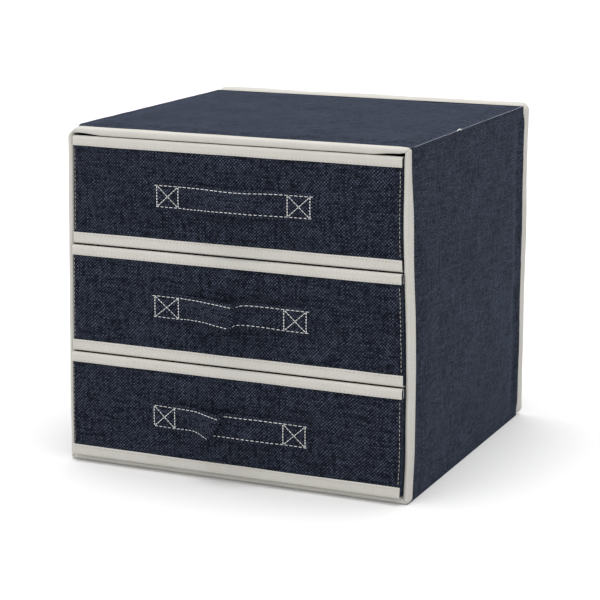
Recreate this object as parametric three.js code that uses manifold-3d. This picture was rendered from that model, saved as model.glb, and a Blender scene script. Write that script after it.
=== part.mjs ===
// A fabric drawer chest: a cloth-covered cardboard case with three pull-out fabric drawers.
// Millimetres, +Z up, the drawer fronts face -Y, and the origin is the middle of the case's underside.
import * as THREE from "three";
import { mergeVertices } from "three/addons/utils/BufferGeometryUtils.js";
import Module from "manifold-3d";

// ---------------------------------------------------------------- driving dimensions
const CASE_WIDTH = 300; // across the two side cloths
const CASE_DEPTH = 280; // from the front edge of the boards to the back cloth
const CASE_HEIGHT = 285; // from the floor to the top of the front binding

const CLOTH = 0.6; // woven cover cloth
const LINING = 0.5; // non-woven lining cloth
const BOARD = 2; // cardboard in every wall
const TAPE = 0.6; // cream binding tape
const LAY = 0.15; // air between two layers that lie on each other

const CASE_FLAP = 9; // how far the case's front binding reaches back over the walls
const FLANGE_DEPTH = 8; // bound seam allowance that stands off the back edges
const FLANGE_THICKNESS = 3;
const FLANGE_TILT = THREE.MathUtils.degToRad(20); // its outward lean, on the top and the sides
const FLANGE_CORNER = 7; // corner radius of the flange

const SHELF_BOARD = 1.8;
const SHELF_SETBACK = 8.5; // from the boards' front edge to the shelf's front edge
const SHELF_CLEARANCE = 0.4; // between a shelf and the drawer that stands on it

const DRAWER_WIDTH = 289.8;
const DRAWER_DEPTH = 272;
const FRONT_HEIGHT = 90.2; // drawer front with its two bindings
const BODY_HEIGHT = 86.8; // drawer sides and back
const DRAWER_PITCH = 91.2; // from one drawer to the next
const FIRST_DRAWER = 5.6; // floor to the lowest drawer's front

const RIM_TAPE_DROP = 8.2; // binding over the top edge of a drawer front
const SILL_TAPE_RISE = 9.6; // binding round the bottom edge of a drawer front
const SILL_TAPE_DEPTH = 9.5; // how far it runs back under the drawer

const STRAP_LENGTH = 143; // a handle's width along the drawer front
const STRAP_HEIGHT = 23.5;
const STRAP_THICKNESS = 1.8;
const STRAP_BOW = 11.5; // how far the slack middle stands off the front
const STRAP_STEPS = 24; // facets along the bow
const PATCH_LENGTH = 27; // flat sewn end of a strap

const STITCH_WIDTH = 19.5; // box-and-cross stitching on a strap's end
const STITCH_HEIGHT = 17.2;
const THREAD_WIDTH = 0.8;
const THREAD_THICKNESS = 0.35;

// How each drawer stands: how far it is left pulled out, and where its handle was sewn.
const DRAWERS = [
  { name: "bottom", pulledOut: 5, handleShift: -1, handleDrop: 2.3 },
  { name: "middle", pulledOut: 3, handleShift: -1, handleDrop: 0.1 },
  { name: "top", pulledOut: 0.5, handleShift: 1, handleDrop: -0.3 },
];

// ---------------------------------------------------------------- derived sizes
const BOARD_AT = CLOTH + LAY; // depth of the board's outer face in a wall
const LINING_AT = BOARD_AT + BOARD + LAY; // depth of the lining's outer face
const WALL = LINING_AT + LINING;
const TAPE_OUT = TAPE + LAY; // how far a tape's outer face stands off what it covers

const CASE_X = CASE_WIDTH / 2;
const FRONT_Y = -CASE_DEPTH / 2;
const BACK_Y = CASE_DEPTH / 2;
const TOP_Z = CASE_HEIGHT - TAPE_OUT; // outer face of the top cloth
const BINDING_Y = FRONT_Y - TAPE_OUT; // front face of the case's front binding

const DRAWER_X = DRAWER_WIDTH / 2;
const RIM_TOP = FRONT_HEIGHT - TAPE_OUT; // top edge of the front wall under its tape
const SHELF_THICKNESS = 2 * (LINING + LAY) + SHELF_BOARD;

// ---------------------------------------------------------------- finishes
const NAVY_CLOTH = new THREE.MeshStandardMaterial({ color: 0x262a35, roughness: 0.92, metalness: 0 });
const CREAM_TAPE = new THREE.MeshStandardMaterial({ color: 0xd3cfc4, roughness: 0.75, metalness: 0 });
const LINING_CLOTH = new THREE.MeshStandardMaterial({ color: 0x2e3240, roughness: 0.95, metalness: 0 });
const CARDBOARD = new THREE.MeshStandardMaterial({ color: 0xa9855c, roughness: 0.9, metalness: 0 });
const SEWING_THREAD = new THREE.MeshStandardMaterial({ color: 0xd9d8d2, roughness: 0.6, metalness: 0 });

// ---------------------------------------------------------------- solids
const wasm = await Module();
wasm.setup();

// A closed three.js geometry as a solid that can be joined and cut.
function solidOf(geometry) {
  geometry.deleteAttribute("normal");
  geometry.deleteAttribute("uv");
  const merged = mergeVertices(geometry, 1e-4);
  const vertProperties = new Float32Array(merged.attributes.position.array);
  const triVerts = new Uint32Array(merged.index.array);
  return new wasm.Manifold(new wasm.Mesh({ numProp: 3, vertProperties, triVerts }));
}

function geometryOf(solid) {
  const { vertProperties, triVerts } = solid.getMesh();
  const geometry = new THREE.BufferGeometry();
  geometry.setAttribute("position", new THREE.BufferAttribute(vertProperties, 3));
  geometry.setIndex(new THREE.BufferAttribute(triVerts, 1));
  geometry.computeVertexNormals();
  return geometry;
}

// A box between low and high values on each axis.
function block([x0, x1], [y0, y1], [z0, z1]) {
  const geometry = new THREE.BoxGeometry(x1 - x0, y1 - y0, z1 - z0);
  geometry.translate((x0 + x1) / 2, (y0 + y1) / 2, (z0 + z1) / 2);
  return solidOf(geometry);
}

// The range from -half to half.
function across(half) {
  return [-half, half];
}

function sewn(name, solid, material) {
  const mesh = new THREE.Mesh(geometryOf(solid), material);
  mesh.name = name;
  return mesh;
}

// ---------------------------------------------------------------- case
// Five cloth panels, seamed along the edges of the case.
function caseCovers() {
  const backFace = BACK_Y - CLOTH - LAY;
  const sideZ = [CLOTH + LAY, TOP_Z];
  const topX = across(CASE_X - CLOTH - LAY);
  const left = block([-CASE_X, -CASE_X + CLOTH], [FRONT_Y, backFace], sideZ);
  const right = block([CASE_X - CLOTH, CASE_X], [FRONT_Y, backFace], sideZ);
  const top = block(topX, [FRONT_Y, backFace], [TOP_Z - CLOTH, TOP_Z]);
  const bottom = block(across(CASE_X), [BINDING_Y + CASE_FLAP, backFace], [0, CLOTH]);
  const back = block(across(CASE_X), [BACK_Y - CLOTH, BACK_Y], [0, TOP_Z]);
  return [
    sewn("cover_left", left, NAVY_CLOTH),
    sewn("cover_right", right, NAVY_CLOTH),
    sewn("cover_top", top, NAVY_CLOTH),
    sewn("cover_bottom", bottom, NAVY_CLOTH),
    sewn("cover_back", back, NAVY_CLOTH),
  ];
}

// Five cardboard stiffeners, one in each wall.
function caseBoards() {
  const outerX = CASE_X - BOARD_AT;
  const betweenX = across(outerX - BOARD - LAY);
  const backY = BACK_Y - BOARD_AT;
  const wallY = [FRONT_Y, backY - BOARD - LAY];
  const wallZ = [BOARD_AT, TOP_Z - BOARD_AT];
  const left = block([-outerX, -outerX + BOARD], wallY, wallZ);
  const right = block([outerX - BOARD, outerX], wallY, wallZ);
  const bottom = block(betweenX, wallY, [BOARD_AT, BOARD_AT + BOARD]);
  const top = block(betweenX, wallY, [TOP_Z - BOARD_AT - BOARD, TOP_Z - BOARD_AT]);
  const back = block(across(outerX), [backY - BOARD, backY], wallZ);
  return [
    sewn("board_left", left, CARDBOARD),
    sewn("board_right", right, CARDBOARD),
    sewn("board_bottom", bottom, CARDBOARD),
    sewn("board_top", top, CARDBOARD),
    sewn("board_back", back, CARDBOARD),
  ];
}

// One bag of lining cloth, open to the front.
function caseLining() {
  const outside = block(
    across(CASE_X - LINING_AT),
    [FRONT_Y, BACK_Y - LINING_AT],
    [LINING_AT, TOP_Z - LINING_AT],
  );
  const inside = block(across(CASE_X - WALL), [FRONT_Y - 1, BACK_Y - WALL], [WALL, TOP_Z - WALL]);
  return sewn("case_lining", outside.subtract(inside), LINING_CLOTH);
}

// Tape folded over the front edges of the four walls, in one loop.
function frontBinding() {
  const behind = BINDING_Y + CASE_FLAP;
  const outside = block(across(CASE_X + TAPE_OUT), [BINDING_Y, behind], [0, CASE_HEIGHT]);
  const innerX = CASE_X - WALL - TAPE_OUT;
  const innerZ = [WALL + TAPE_OUT, TOP_Z - WALL - TAPE_OUT];
  const mouth = block(across(innerX), [BINDING_Y - 1, behind + 1], innerZ);
  const slotY = [BINDING_Y + TAPE, behind + 1];
  const slotOutside = block(across(CASE_X + LAY), slotY, [TAPE, CASE_HEIGHT - TAPE]);
  const slotInside = block(
    across(innerX + TAPE),
    [BINDING_Y, behind + 2],
    [innerZ[0] - TAPE, innerZ[1] + TAPE],
  );
  const slot = slotOutside.subtract(slotInside);
  return sewn("front_binding", outside.subtract(mouth).subtract(slot), CREAM_TAPE);
}

// A rectangle with rounded corners, added to a shape or used as a hole.
function roundedRectangle(path, [x0, x1], [y0, y1], radius) {
  const quarter = Math.PI / 2;
  path.moveTo(x0 + radius, y0);
  path.absarc(x1 - radius, y0 + radius, radius, -quarter, 0, false);
  path.absarc(x1 - radius, y1 - radius, radius, 0, quarter, false);
  path.absarc(x0 + radius, y1 - radius, radius, quarter, 2 * quarter, false);
  path.absarc(x0 + radius, y0 + radius, radius, 2 * quarter, 3 * quarter, false);
  path.closePath();
  return path;
}

// The bound seam allowance round the back. It leans outward on the top and the sides.
function backBinding() {
  const inset = FLANGE_THICKNESS;
  const base = LAY; // it starts just clear of the back cloth and of the floor
  const x = CASE_X;
  const z = [base, TOP_Z];
  const shape = roundedRectangle(new THREE.Shape(), [-x, x], z, FLANGE_CORNER);
  const holeX = [-x + inset, x - inset];
  const holeZ = [z[0] + inset, z[1] - inset];
  shape.holes.push(roundedRectangle(new THREE.Path(), holeX, holeZ, FLANGE_CORNER - inset));
  const geometry = new THREE.ExtrudeGeometry(shape, {
    depth: FLANGE_DEPTH,
    bevelEnabled: false,
    curveSegments: 5,
  });
  geometry.rotateX(Math.PI / 2);
  geometry.translate(0, BACK_Y + base + FLANGE_DEPTH, 0);
  const position = geometry.attributes.position;
  for (let i = 0; i < position.count; i++) {
    const lean = (position.getY(i) - BACK_Y - base) * Math.tan(FLANGE_TILT);
    position.setX(i, position.getX(i) + Math.sign(position.getX(i)) * lean);
    if (position.getZ(i) > TOP_Z / 2) position.setZ(i, position.getZ(i) + lean);
  }
  return sewn("back_binding", solidOf(geometry), CREAM_TAPE);
}

// A shelf: a stiffener in a cloth sleeve that is folded round its front edge and sewn to the lining.
function shelf(name, topZ) {
  const halfX = CASE_X - WALL - LAY;
  const frontY = FRONT_Y + SHELF_SETBACK;
  const backY = BACK_Y - WALL - LAY;
  const zs = [topZ - SHELF_THICKNESS, topZ];
  const outside = block(across(halfX), [frontY, backY], zs);
  const pocketZ = [zs[0] + LINING, zs[1] - LINING];
  const pocket = block(across(halfX + 1), [frontY + LINING, backY + 1], pocketZ);
  const boardZ = [pocketZ[0] + LAY, pocketZ[1] - LAY];
  const board = block(across(halfX), [frontY + LINING + LAY, backY], boardZ);
  return [
    sewn(name + "_sleeve", outside.subtract(pocket), LINING_CLOTH),
    sewn(name + "_board", board, CARDBOARD),
  ];
}

function shelfTop(level) {
  return FIRST_DRAWER + level * DRAWER_PITCH - SHELF_CLEARANCE;
}

function buildCase() {
  const group = new THREE.Group();
  group.add(...caseCovers(), ...caseBoards(), caseLining(), frontBinding(), backBinding());
  group.add(...shelf("lower_shelf", shelfTop(1)), ...shelf("upper_shelf", shelfTop(2)));
  return group;
}

// ---------------------------------------------------------------- drawer
// A drawer is modelled with y = 0 at its front cloth and z = 0 under its front.

// The front's cloth, with short returns round the two side edges.
function drawerFrontCover() {
  const height = [TAPE_OUT, RIM_TOP];
  const outside = block(across(DRAWER_X), [0, LINING_AT], height);
  const inside = block(
    across(DRAWER_X - CLOTH),
    [CLOTH, LINING_AT + 1],
    [height[0] - 1, height[1] + 1],
  );
  return outside.subtract(inside);
}

// The sides, bottom and back in one piece of cloth, hemmed over the tops of the side and back boards.
function drawerBodyCover() {
  const frontY = LINING_AT + LAY;
  const outside = block(across(DRAWER_X), [frontY, DRAWER_DEPTH], [0, BODY_HEIGHT]);
  const wallSpace = block(
    across(DRAWER_X - CLOTH),
    [0, DRAWER_DEPTH - CLOTH],
    [CLOTH, BODY_HEIGHT - CLOTH],
  );
  const mouthX = across(DRAWER_X - WALL);
  const mouth = block(mouthX, [0, DRAWER_DEPTH - WALL], [CLOTH, BODY_HEIGHT + 1]);
  const sillTape = block(across(DRAWER_X - CLOTH), [0, SILL_TAPE_DEPTH + LAY], [-1, TAPE_OUT]);
  return outside.subtract(wallSpace).subtract(mouth).subtract(sillTape);
}

function drawerBoards(prefix) {
  const outerX = DRAWER_X - BOARD_AT;
  const innerX = outerX - BOARD - LAY;
  const frontY = [BOARD_AT, BOARD_AT + BOARD];
  const backY = [DRAWER_DEPTH - BOARD_AT - BOARD, DRAWER_DEPTH - BOARD_AT];
  const bodyY = [frontY[1] + LAY, backY[1]];
  const bodyZ = [LINING_AT, BODY_HEIGHT - BOARD_AT];
  const front = block(across(outerX), frontY, [BOARD_AT, RIM_TOP - LAY]);
  const left = block([-outerX, -outerX + BOARD], bodyY, bodyZ);
  const right = block([outerX - BOARD, outerX], bodyY, bodyZ);
  const back = block(across(innerX), backY, bodyZ);
  const base = block(across(outerX), bodyY, [BOARD_AT, BOARD_AT + BOARD]);
  return [
    sewn(prefix + "_front_board", front, CARDBOARD),
    sewn(prefix + "_left_board", left, CARDBOARD),
    sewn(prefix + "_right_board", right, CARDBOARD),
    sewn(prefix + "_back_board", back, CARDBOARD),
    sewn(prefix + "_base_board", base, CARDBOARD),
  ];
}

// One bag of lining cloth, open at the top and taller behind the front.
function drawerLining() {
  const outerX = DRAWER_X - LINING_AT;
  const outerY = [LINING_AT, DRAWER_DEPTH - LINING_AT];
  const rim = BODY_HEIGHT - BOARD_AT;
  const bag = block(across(outerX), outerY, [LINING_AT, rim]);
  const inside = block(
    across(outerX - LINING),
    [outerY[0] + LINING, outerY[1] - LINING],
    [WALL, rim + 1],
  );
  const frontSheet = block(
    across(DRAWER_X - WALL - LAY),
    [LINING_AT, LINING_AT + LINING],
    [LINING_AT, RIM_TOP - LAY],
  );
  return bag.subtract(inside).add(frontSheet);
}

// Tape folded over the top edge of the front. Its inner leg runs between the two sides.
function drawerRimTape() {
  const backY = WALL + TAPE_OUT;
  const legZ = [FRONT_HEIGHT - RIM_TAPE_DROP, FRONT_HEIGHT];
  const cap = block(across(DRAWER_X), [-TAPE_OUT, backY], [FRONT_HEIGHT - TAPE, FRONT_HEIGHT]);
  const outerLeg = block(across(DRAWER_X), [-TAPE_OUT, -LAY], legZ);
  const innerLeg = block(across(DRAWER_X - WALL - LAY), [backY - TAPE, backY], legZ);
  return cap.add(outerLeg).add(innerLeg);
}

// Tape folded under the bottom edge of the front.
function drawerSillTape() {
  const outerLeg = block(across(DRAWER_X), [-TAPE_OUT, -LAY], [0, SILL_TAPE_RISE]);
  const under = block(across(DRAWER_X), [-TAPE_OUT, LINING_AT], [0, TAPE]);
  const tail = block(across(DRAWER_X - CLOTH - LAY), [0, SILL_TAPE_DEPTH], [0, TAPE]);
  return outerLeg.add(under).add(tail);
}

// How far the strap's inner face stands off the drawer front, at x from the strap's middle.
function strapBow(x) {
  const free = STRAP_LENGTH / 2 - PATCH_LENGTH;
  const along = Math.min(1, Math.abs(x) / free);
  return STRAP_BOW * (1 - along ** 2) ** 1.5;
}

// A folded cloth strap with two flat sewn ends and a slack, bowed middle.
function handleStrap() {
  const half = STRAP_LENGTH / 2;
  const free = half - PATCH_LENGTH;
  const stations = [-half];
  for (let i = 0; i <= STRAP_STEPS; i++) stations.push(free * ((2 * i) / STRAP_STEPS - 1));
  stations.push(half);
  const inner = stations.map((x) => new THREE.Vector2(x, -LAY - strapBow(x)));
  const outer = inner.map((point) => new THREE.Vector2(point.x, point.y - STRAP_THICKNESS));
  const shape = new THREE.Shape([...outer, ...inner.reverse()]);
  const geometry = new THREE.ExtrudeGeometry(shape, { depth: STRAP_HEIGHT, bevelEnabled: false });
  geometry.translate(0, 0, -STRAP_HEIGHT / 2);
  return solidOf(geometry);
}

// A bar of thread on the strap's face, centred on the origin and turned in the XZ plane.
function threadBar(length, angle) {
  const geometry = new THREE.BoxGeometry(length, THREAD_THICKNESS, THREAD_WIDTH);
  geometry.rotateY(-angle);
  return geometry;
}

// A stitched rectangle with both its diagonals.
function boxStitch() {
  const diagonal = Math.hypot(STITCH_WIDTH, STITCH_HEIGHT) - 2 * THREAD_WIDTH;
  const slant = Math.atan2(STITCH_HEIGHT, STITCH_WIDTH);
  let solid = solidOf(threadBar(diagonal, slant)).add(solidOf(threadBar(diagonal, -slant)));
  for (const side of [-1, 1]) {
    const row = threadBar(STITCH_WIDTH, 0);
    row.translate(0, 0, (side * (STITCH_HEIGHT - THREAD_WIDTH)) / 2);
    const column = threadBar(STITCH_HEIGHT, Math.PI / 2);
    column.translate((side * (STITCH_WIDTH - THREAD_WIDTH)) / 2, 0, 0);
    solid = solid.add(solidOf(row)).add(solidOf(column));
  }
  return solid;
}

function buildHandle(prefix) {
  const group = new THREE.Group();
  group.add(sewn(prefix + "_handle", handleStrap(), NAVY_CLOTH));
  const patchX = (STRAP_LENGTH - PATCH_LENGTH) / 2;
  const faceY = -LAY - STRAP_THICKNESS - LAY - THREAD_THICKNESS / 2;
  for (const [side, place] of [["left", -patchX], ["right", patchX]]) {
    const stitch = sewn(prefix + "_stitch_" + side, boxStitch(), SEWING_THREAD);
    stitch.position.set(place, faceY, 0);
    group.add(stitch);
  }
  return group;
}

function buildDrawer({ name, pulledOut, handleShift, handleDrop }, level) {
  const prefix = name + "_drawer";
  const group = new THREE.Group();
  group.add(
    sewn(prefix + "_front_cover", drawerFrontCover(), NAVY_CLOTH),
    sewn(prefix + "_body_cover", drawerBodyCover(), NAVY_CLOTH),
    ...drawerBoards(prefix),
    sewn(prefix + "_lining", drawerLining(), LINING_CLOTH),
    sewn(prefix + "_rim_tape", drawerRimTape(), CREAM_TAPE),
    sewn(prefix + "_sill_tape", drawerSillTape(), CREAM_TAPE),
  );
  const handle = buildHandle(prefix);
  handle.position.set(handleShift, 0, FRONT_HEIGHT / 2 - handleDrop);
  group.add(handle);
  group.position.set(0, BINDING_Y - pulledOut, FIRST_DRAWER + level * DRAWER_PITCH);
  return group;
}

// ---------------------------------------------------------------- the chest
const chest = new THREE.Group();
chest.add(buildCase());
DRAWERS.forEach((drawer, level) => chest.add(buildDrawer(drawer, level)));

export default chest;
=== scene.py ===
"""A cloth-covered drawer chest: woven panels over stiffeners, folded binding tapes, sewn straps and linings.

Lengths inside the script are millimetres, and every mesh is written in metres.
"""

import math

import bpy
import numpy as np
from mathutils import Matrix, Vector


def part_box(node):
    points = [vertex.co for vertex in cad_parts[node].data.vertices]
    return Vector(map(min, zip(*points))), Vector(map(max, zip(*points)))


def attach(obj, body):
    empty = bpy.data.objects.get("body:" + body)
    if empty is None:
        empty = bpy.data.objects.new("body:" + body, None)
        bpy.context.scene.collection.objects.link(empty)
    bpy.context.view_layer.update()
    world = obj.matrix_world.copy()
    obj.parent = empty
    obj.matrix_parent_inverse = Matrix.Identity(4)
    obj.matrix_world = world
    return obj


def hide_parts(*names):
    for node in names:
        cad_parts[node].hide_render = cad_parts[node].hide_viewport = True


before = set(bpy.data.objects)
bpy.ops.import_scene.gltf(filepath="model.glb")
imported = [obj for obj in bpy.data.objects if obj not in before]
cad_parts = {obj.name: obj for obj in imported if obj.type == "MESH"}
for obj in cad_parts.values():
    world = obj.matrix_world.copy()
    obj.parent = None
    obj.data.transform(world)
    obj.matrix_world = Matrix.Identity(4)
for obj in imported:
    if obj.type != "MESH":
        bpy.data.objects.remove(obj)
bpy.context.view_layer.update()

MM = 0.001
CLOTH = 0.6  # thickness of the woven cloth
TAPE = 0.6  # thickness of the binding tape
LINING = 0.5  # thickness of the non-woven lining
LINING_SHEET = LINING * 0.9  # thickness its sheets are drawn with, to stay clear of what they lie on
DRAWERS = ("bottom_drawer", "middle_drawer", "top_drawer")


# ---------------------------------------------------------------- small tools
def box_of(node):
    """Low and high corner of a CAD node, in millimetres."""
    low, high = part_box(node)
    return np.array(low) / MM, np.array(high) / MM


def eased(t):
    """A smooth step from 0 to 1."""
    t = np.clip(t, 0, 1)
    return t * t * (3 - 2 * t)


def between(value, low, high, fade):
    """1 between low and high, easing to 0 at both of them over that distance."""
    return eased((value - low) / fade) * eased((high - value) / fade)


def hump(distance, width):
    """A bell of height 1."""
    return np.exp(-((distance / width) ** 2))


def ripple(a, b, wavelength, seed):
    """A smooth random field over a and b, about 1 high, with that typical wavelength."""
    rng = np.random.default_rng(seed)
    total = 0.0
    waves = 9
    for _ in range(waves):
        angle, phase = rng.uniform(0, 2 * math.pi, 2)
        k = 2 * math.pi / (wavelength * rng.uniform(0.7, 1.6))
        total = total + np.sin(k * (a * math.cos(angle) + b * math.sin(angle)) + phase)
    return total / math.sqrt(waves / 2)


def stations(low, high, step, fine=0.6):
    """Values from low to high, close together at both ends and step apart between them."""
    span = high - low
    ramp, gap = [0.0], fine
    while gap < step and ramp[-1] + gap < span / 3:
        ramp.append(ramp[-1] + gap)
        gap *= 1.6
    ramp = np.array(ramp)
    middle = np.linspace(ramp[-1], span - ramp[-1], max(2, round((span - 2 * ramp[-1]) / step) + 1))
    return low + np.concatenate([ramp[:-1], middle, (span - ramp[:-1])[::-1]])


def arc_length(points):
    """Distance along a chain of points, from its first one."""
    steps = np.linalg.norm(np.diff(points, axis=0), axis=1)
    return np.concatenate([[0.0], np.cumsum(steps)])


def girth(loop):
    """Distance round a closed chain of points, up to its first point again."""
    return arc_length(np.concatenate([loop, loop[:1]]))


def filleted(corners, radius, per_side, per_corner=6, closed=False):
    """A chain of straight runs through 2D corners, each corner rounded, with a fixed number of points."""
    corners = np.array(corners, float)
    n = len(corners)
    bends = range(n) if closed else range(1, n - 1)
    cut = {}
    for k in bends:
        before, after = corners[k - 1] - corners[k], corners[(k + 1) % n] - corners[k]
        before, after = before / np.linalg.norm(before), after / np.linalg.norm(after)
        half = math.acos(np.clip(before @ after, -1, 1)) / 2
        reach = radius / math.tan(half)
        centre = corners[k] + (before + after) / np.linalg.norm(before + after) * radius / math.sin(half)
        cut[k] = (corners[k] + before * reach, corners[k] + after * reach, centre)
    points = []
    for k in range(n if closed else n - 1):
        start = cut[k][1] if k in cut else corners[k]
        end_key = (k + 1) % n
        end = cut[end_key][0] if end_key in cut else corners[end_key]
        share = (1 - np.cos(np.linspace(0, math.pi, per_side + 1))) / 2
        run = start + share[:, None] * (end - start)
        points.extend(run if k == 0 else run[1:])
        if end_key in cut:
            first, last, centre = cut[end_key]
            a0 = math.atan2(*(first - centre)[::-1])
            a1 = math.atan2(*(last - centre)[::-1])
            turn = (a1 - a0 + math.pi) % (2 * math.pi) - math.pi
            for a in a0 + turn * np.arange(1, per_corner + 1) / per_corner:
                points.append(centre + radius * np.array([math.cos(a), math.sin(a)]))
    points = np.array(points)
    return points[:-1] if closed else points


def swept(x, profile):
    """A grid of points with the profile's y and z at each x."""
    gx = np.repeat(x[:, None], len(profile), 1)
    gy = np.repeat(profile[None, :, 0], len(x), 0)
    gz = np.repeat(profile[None, :, 1], len(x), 0)
    return gx, gy, gz


def walled(plan, z):
    """A grid of points with the plan's x and y at each height z."""
    gx = np.repeat(plan[:, :1], len(z), 1)
    gy = np.repeat(plan[:, 1:], len(z), 1)
    gz = np.repeat(z[None, :], len(plan), 0)
    return gx, gy, gz


# ---------------------------------------------------------------- case measures
BINDING_LOW, BINDING_HIGH = box_of("front_binding")
SIDE_X = box_of("cover_right")[1][0]  # outer face of the side cloth
TOP_Z = box_of("cover_top")[1][2]  # outer face of the top cloth
BACK_Y = box_of("cover_back")[1][1]  # outer face of the back cloth
FRONT_Y = BINDING_LOW[1]  # front face of the binding
FLAP_Y = BINDING_HIGH[1]  # where the binding's flaps end
FLANGE_HIGH = box_of("back_binding")[1]
RIDGE = 0.35  # how far the seams along the top edges stand out
CORNER_CUT = 7.5  # how far the binding's left top corner is cut back along each edge
LEAN_LEFT, LEAN_RIGHT = 4.3, 3.5  # how far the walls lean out at their worst


def settled(points):
    """The chest's slack: toward the front its walls lean out, more so below, and the drawers with them."""
    x, y, z = points.T
    front = np.clip((BACK_Y - y) / (BACK_Y - FRONT_Y), 0, 1)
    edge = eased((np.abs(x) - 78) / 55)
    left = LEAN_LEFT * np.clip((270 - z) / 230, 0, 1)
    right = LEAN_RIGHT * eased((235 - z) / 130) * (0.5 + 0.5 * eased((z + 15) / 60))
    lean = np.where(x < 0, -left, right) * front * edge
    return points + np.stack([lean, 0 * lean, 0 * lean], 1)


def corner_cut(x, z, cut):
    """How far points move in x and down in z where the left top corner is cut across."""
    short = cut - (BINDING_HIGH[0] + x) - (BINDING_HIGH[2] - z)
    return 0.4 * np.logaddexp(0, short / 0.8) * (cut > 0)


def cut_back(outer, deeper):
    """Follows the binding's cut corner with a deeper layer, fading out toward the back."""
    fade = 1 - eased((outer[..., 1] - FLAP_Y + 2) / 16)
    push = corner_cut(outer[..., 0], outer[..., 2], (CORNER_CUT + deeper) * fade)
    outer[..., 0] += push
    outer[..., 2] -= push


# ---------------------------------------------------------------- meshes
def quads_between(index, u, v, rows, columns):
    """The quads of a grid of point numbers, and their cloth maps. rows and columns each hold where a quad
    starts and where it ends, and the end may wrap round to the grid's start."""
    (i, i_end), (j, j_end) = rows, columns
    quads = np.stack([index[i, j], index[i_end, j], index[i_end, j_end], index[i, j_end]], 1)
    corners = ((i, j), (i + 1, j), (i + 1, j + 1), (i, j + 1))
    return quads, np.stack([np.stack([u[a], v[b]], 1) for a, b in corners], 1)


class Sewing:
    """Collects faces, with a cloth map in millimetres, and makes one piece of them."""

    def __init__(self):
        self.points, self.faces, self.maps, self.count = [], [], [], 0

    def add(self, points, faces, maps):
        self.points.append(points)
        self.faces.extend((np.asarray(f) + self.count).tolist() for f in faces)
        self.maps.extend(maps)
        self.count += len(points)

    def sheet(self, outer, thickness, u, v, wrap=False):
        """A closed layer of cloth. outer is its (m, n, 3) outer face, and u and v are its cloth map.
        u has m + 1 values where the sheet wraps round onto itself."""
        m, n = outer.shape[:2]
        ahead = np.roll(outer, -1, 0) - np.roll(outer, 1, 0) if wrap else np.gradient(outer, axis=0)
        normal = np.cross(ahead, np.gradient(outer, axis=1))
        normal /= np.maximum(np.linalg.norm(normal, axis=2, keepdims=True), 1e-9)
        inner = outer - normal * thickness
        index = np.arange(m * n).reshape(m, n)
        rows = m if wrap else m - 1
        i, j = np.meshgrid(np.arange(rows), np.arange(n - 1), indexing="ij")
        i, j = i.ravel(), j.ravel()
        quads, maps = quads_between(index, u, v, (i, (i + 1) % m), (j, j + 1))
        faces = [*quads, *(quads[:, ::-1] + m * n)]
        uvs = [*maps, *maps[:, ::-1]]
        rims = []  # the quads that close the sheet's edges
        for k in range(rows):
            for col, turn in ((0, 1), (n - 1, -1)):
                a, b = index[k, col], index[(k + 1) % m, col]
                corner = [[u[k], v[col]], [u[k], v[col] + 1], [u[k + 1], v[col] + 1], [u[k + 1], v[col]]]
                rims.append(([a, a + m * n, b + m * n, b], corner, turn))
        for k in range(0 if wrap else n - 1):
            for row, turn in ((0, 1), (m - 1, -1)):
                a, b = index[row, k], index[row, k + 1]
                corner = [[u[row], v[k]], [u[row], v[k + 1]], [u[row] + 1, v[k + 1]], [u[row] + 1, v[k]]]
                rims.append(([a, b, b + m * n, a + m * n], corner, turn))
        for quad, corner, turn in rims:
            faces.append(np.array(quad[::turn]))
            uvs.append(np.array(corner[::turn]))
        self.add(np.concatenate([outer.reshape(-1, 3), inner.reshape(-1, 3)]), faces, uvs)
        return normal

    def tube(self, rings, u, v):
        """A closed body through (m, n, 3) rings, capped at both ends. v has n + 1 values."""
        m, n = rings.shape[:2]
        index = np.arange(m * n).reshape(m, n)
        i, j = np.meshgrid(np.arange(m - 1), np.arange(n), indexing="ij")
        i, j = i.ravel(), j.ravel()
        quads, maps = quads_between(index, u, v, (i, i + 1), (j, (j + 1) % n))
        ends = [index[0], index[-1][::-1]]
        cap = np.stack([np.zeros(n), v[:n]], 1)
        self.add(rings.reshape(-1, 3), [*quads, *ends], [*maps, cap, cap])

    def piece(self, name, body, finish, replaces=()):
        """The collected faces as a piece that rides on a body. A finish is a material and a slot name; the slot
        name is not used.
        """
        material, slot = finish
        mesh = bpy.data.meshes.new(name)
        mesh.from_pydata((settled(np.concatenate(self.points)) * MM).tolist(), [], self.faces)
        cloth_map = mesh.uv_layers.new(name="cloth")
        cloth_map.data.foreach_set("uv", np.concatenate(self.maps).astype(np.float32).ravel())
        mesh.shade_smooth()
        mesh.set_sharp_from_angle(angle=math.radians(55))
        mesh.materials.append(material)
        piece = bpy.data.objects.new(name, mesh)
        bpy.context.scene.collection.objects.link(piece)
        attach(piece, body)
        if replaces:
            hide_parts(*replaces)
        return piece


def stitch_runs(points, normals, length, gap, seed):
    """Start points, end points and normals of the stitches along a chain of points."""
    points, normals = np.asarray(points, float), np.asarray(normals, float)
    at = arc_length(points)
    rng = np.random.default_rng(seed)
    pitch = length + gap
    count = max(1, int((at[-1] + gap) / pitch))
    begin = (at[-1] - count * pitch + gap) / 2 + pitch * np.arange(count)
    begin = begin + rng.uniform(-0.12, 0.12, count) * gap
    end = begin + length * rng.uniform(0.94, 1.03, count)
    pick = lambda where, field: np.stack([np.interp(where, at, field[:, k]) for k in range(3)], 1)
    return pick(begin, points), pick(end, points), pick((begin + end) / 2, normals)


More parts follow.
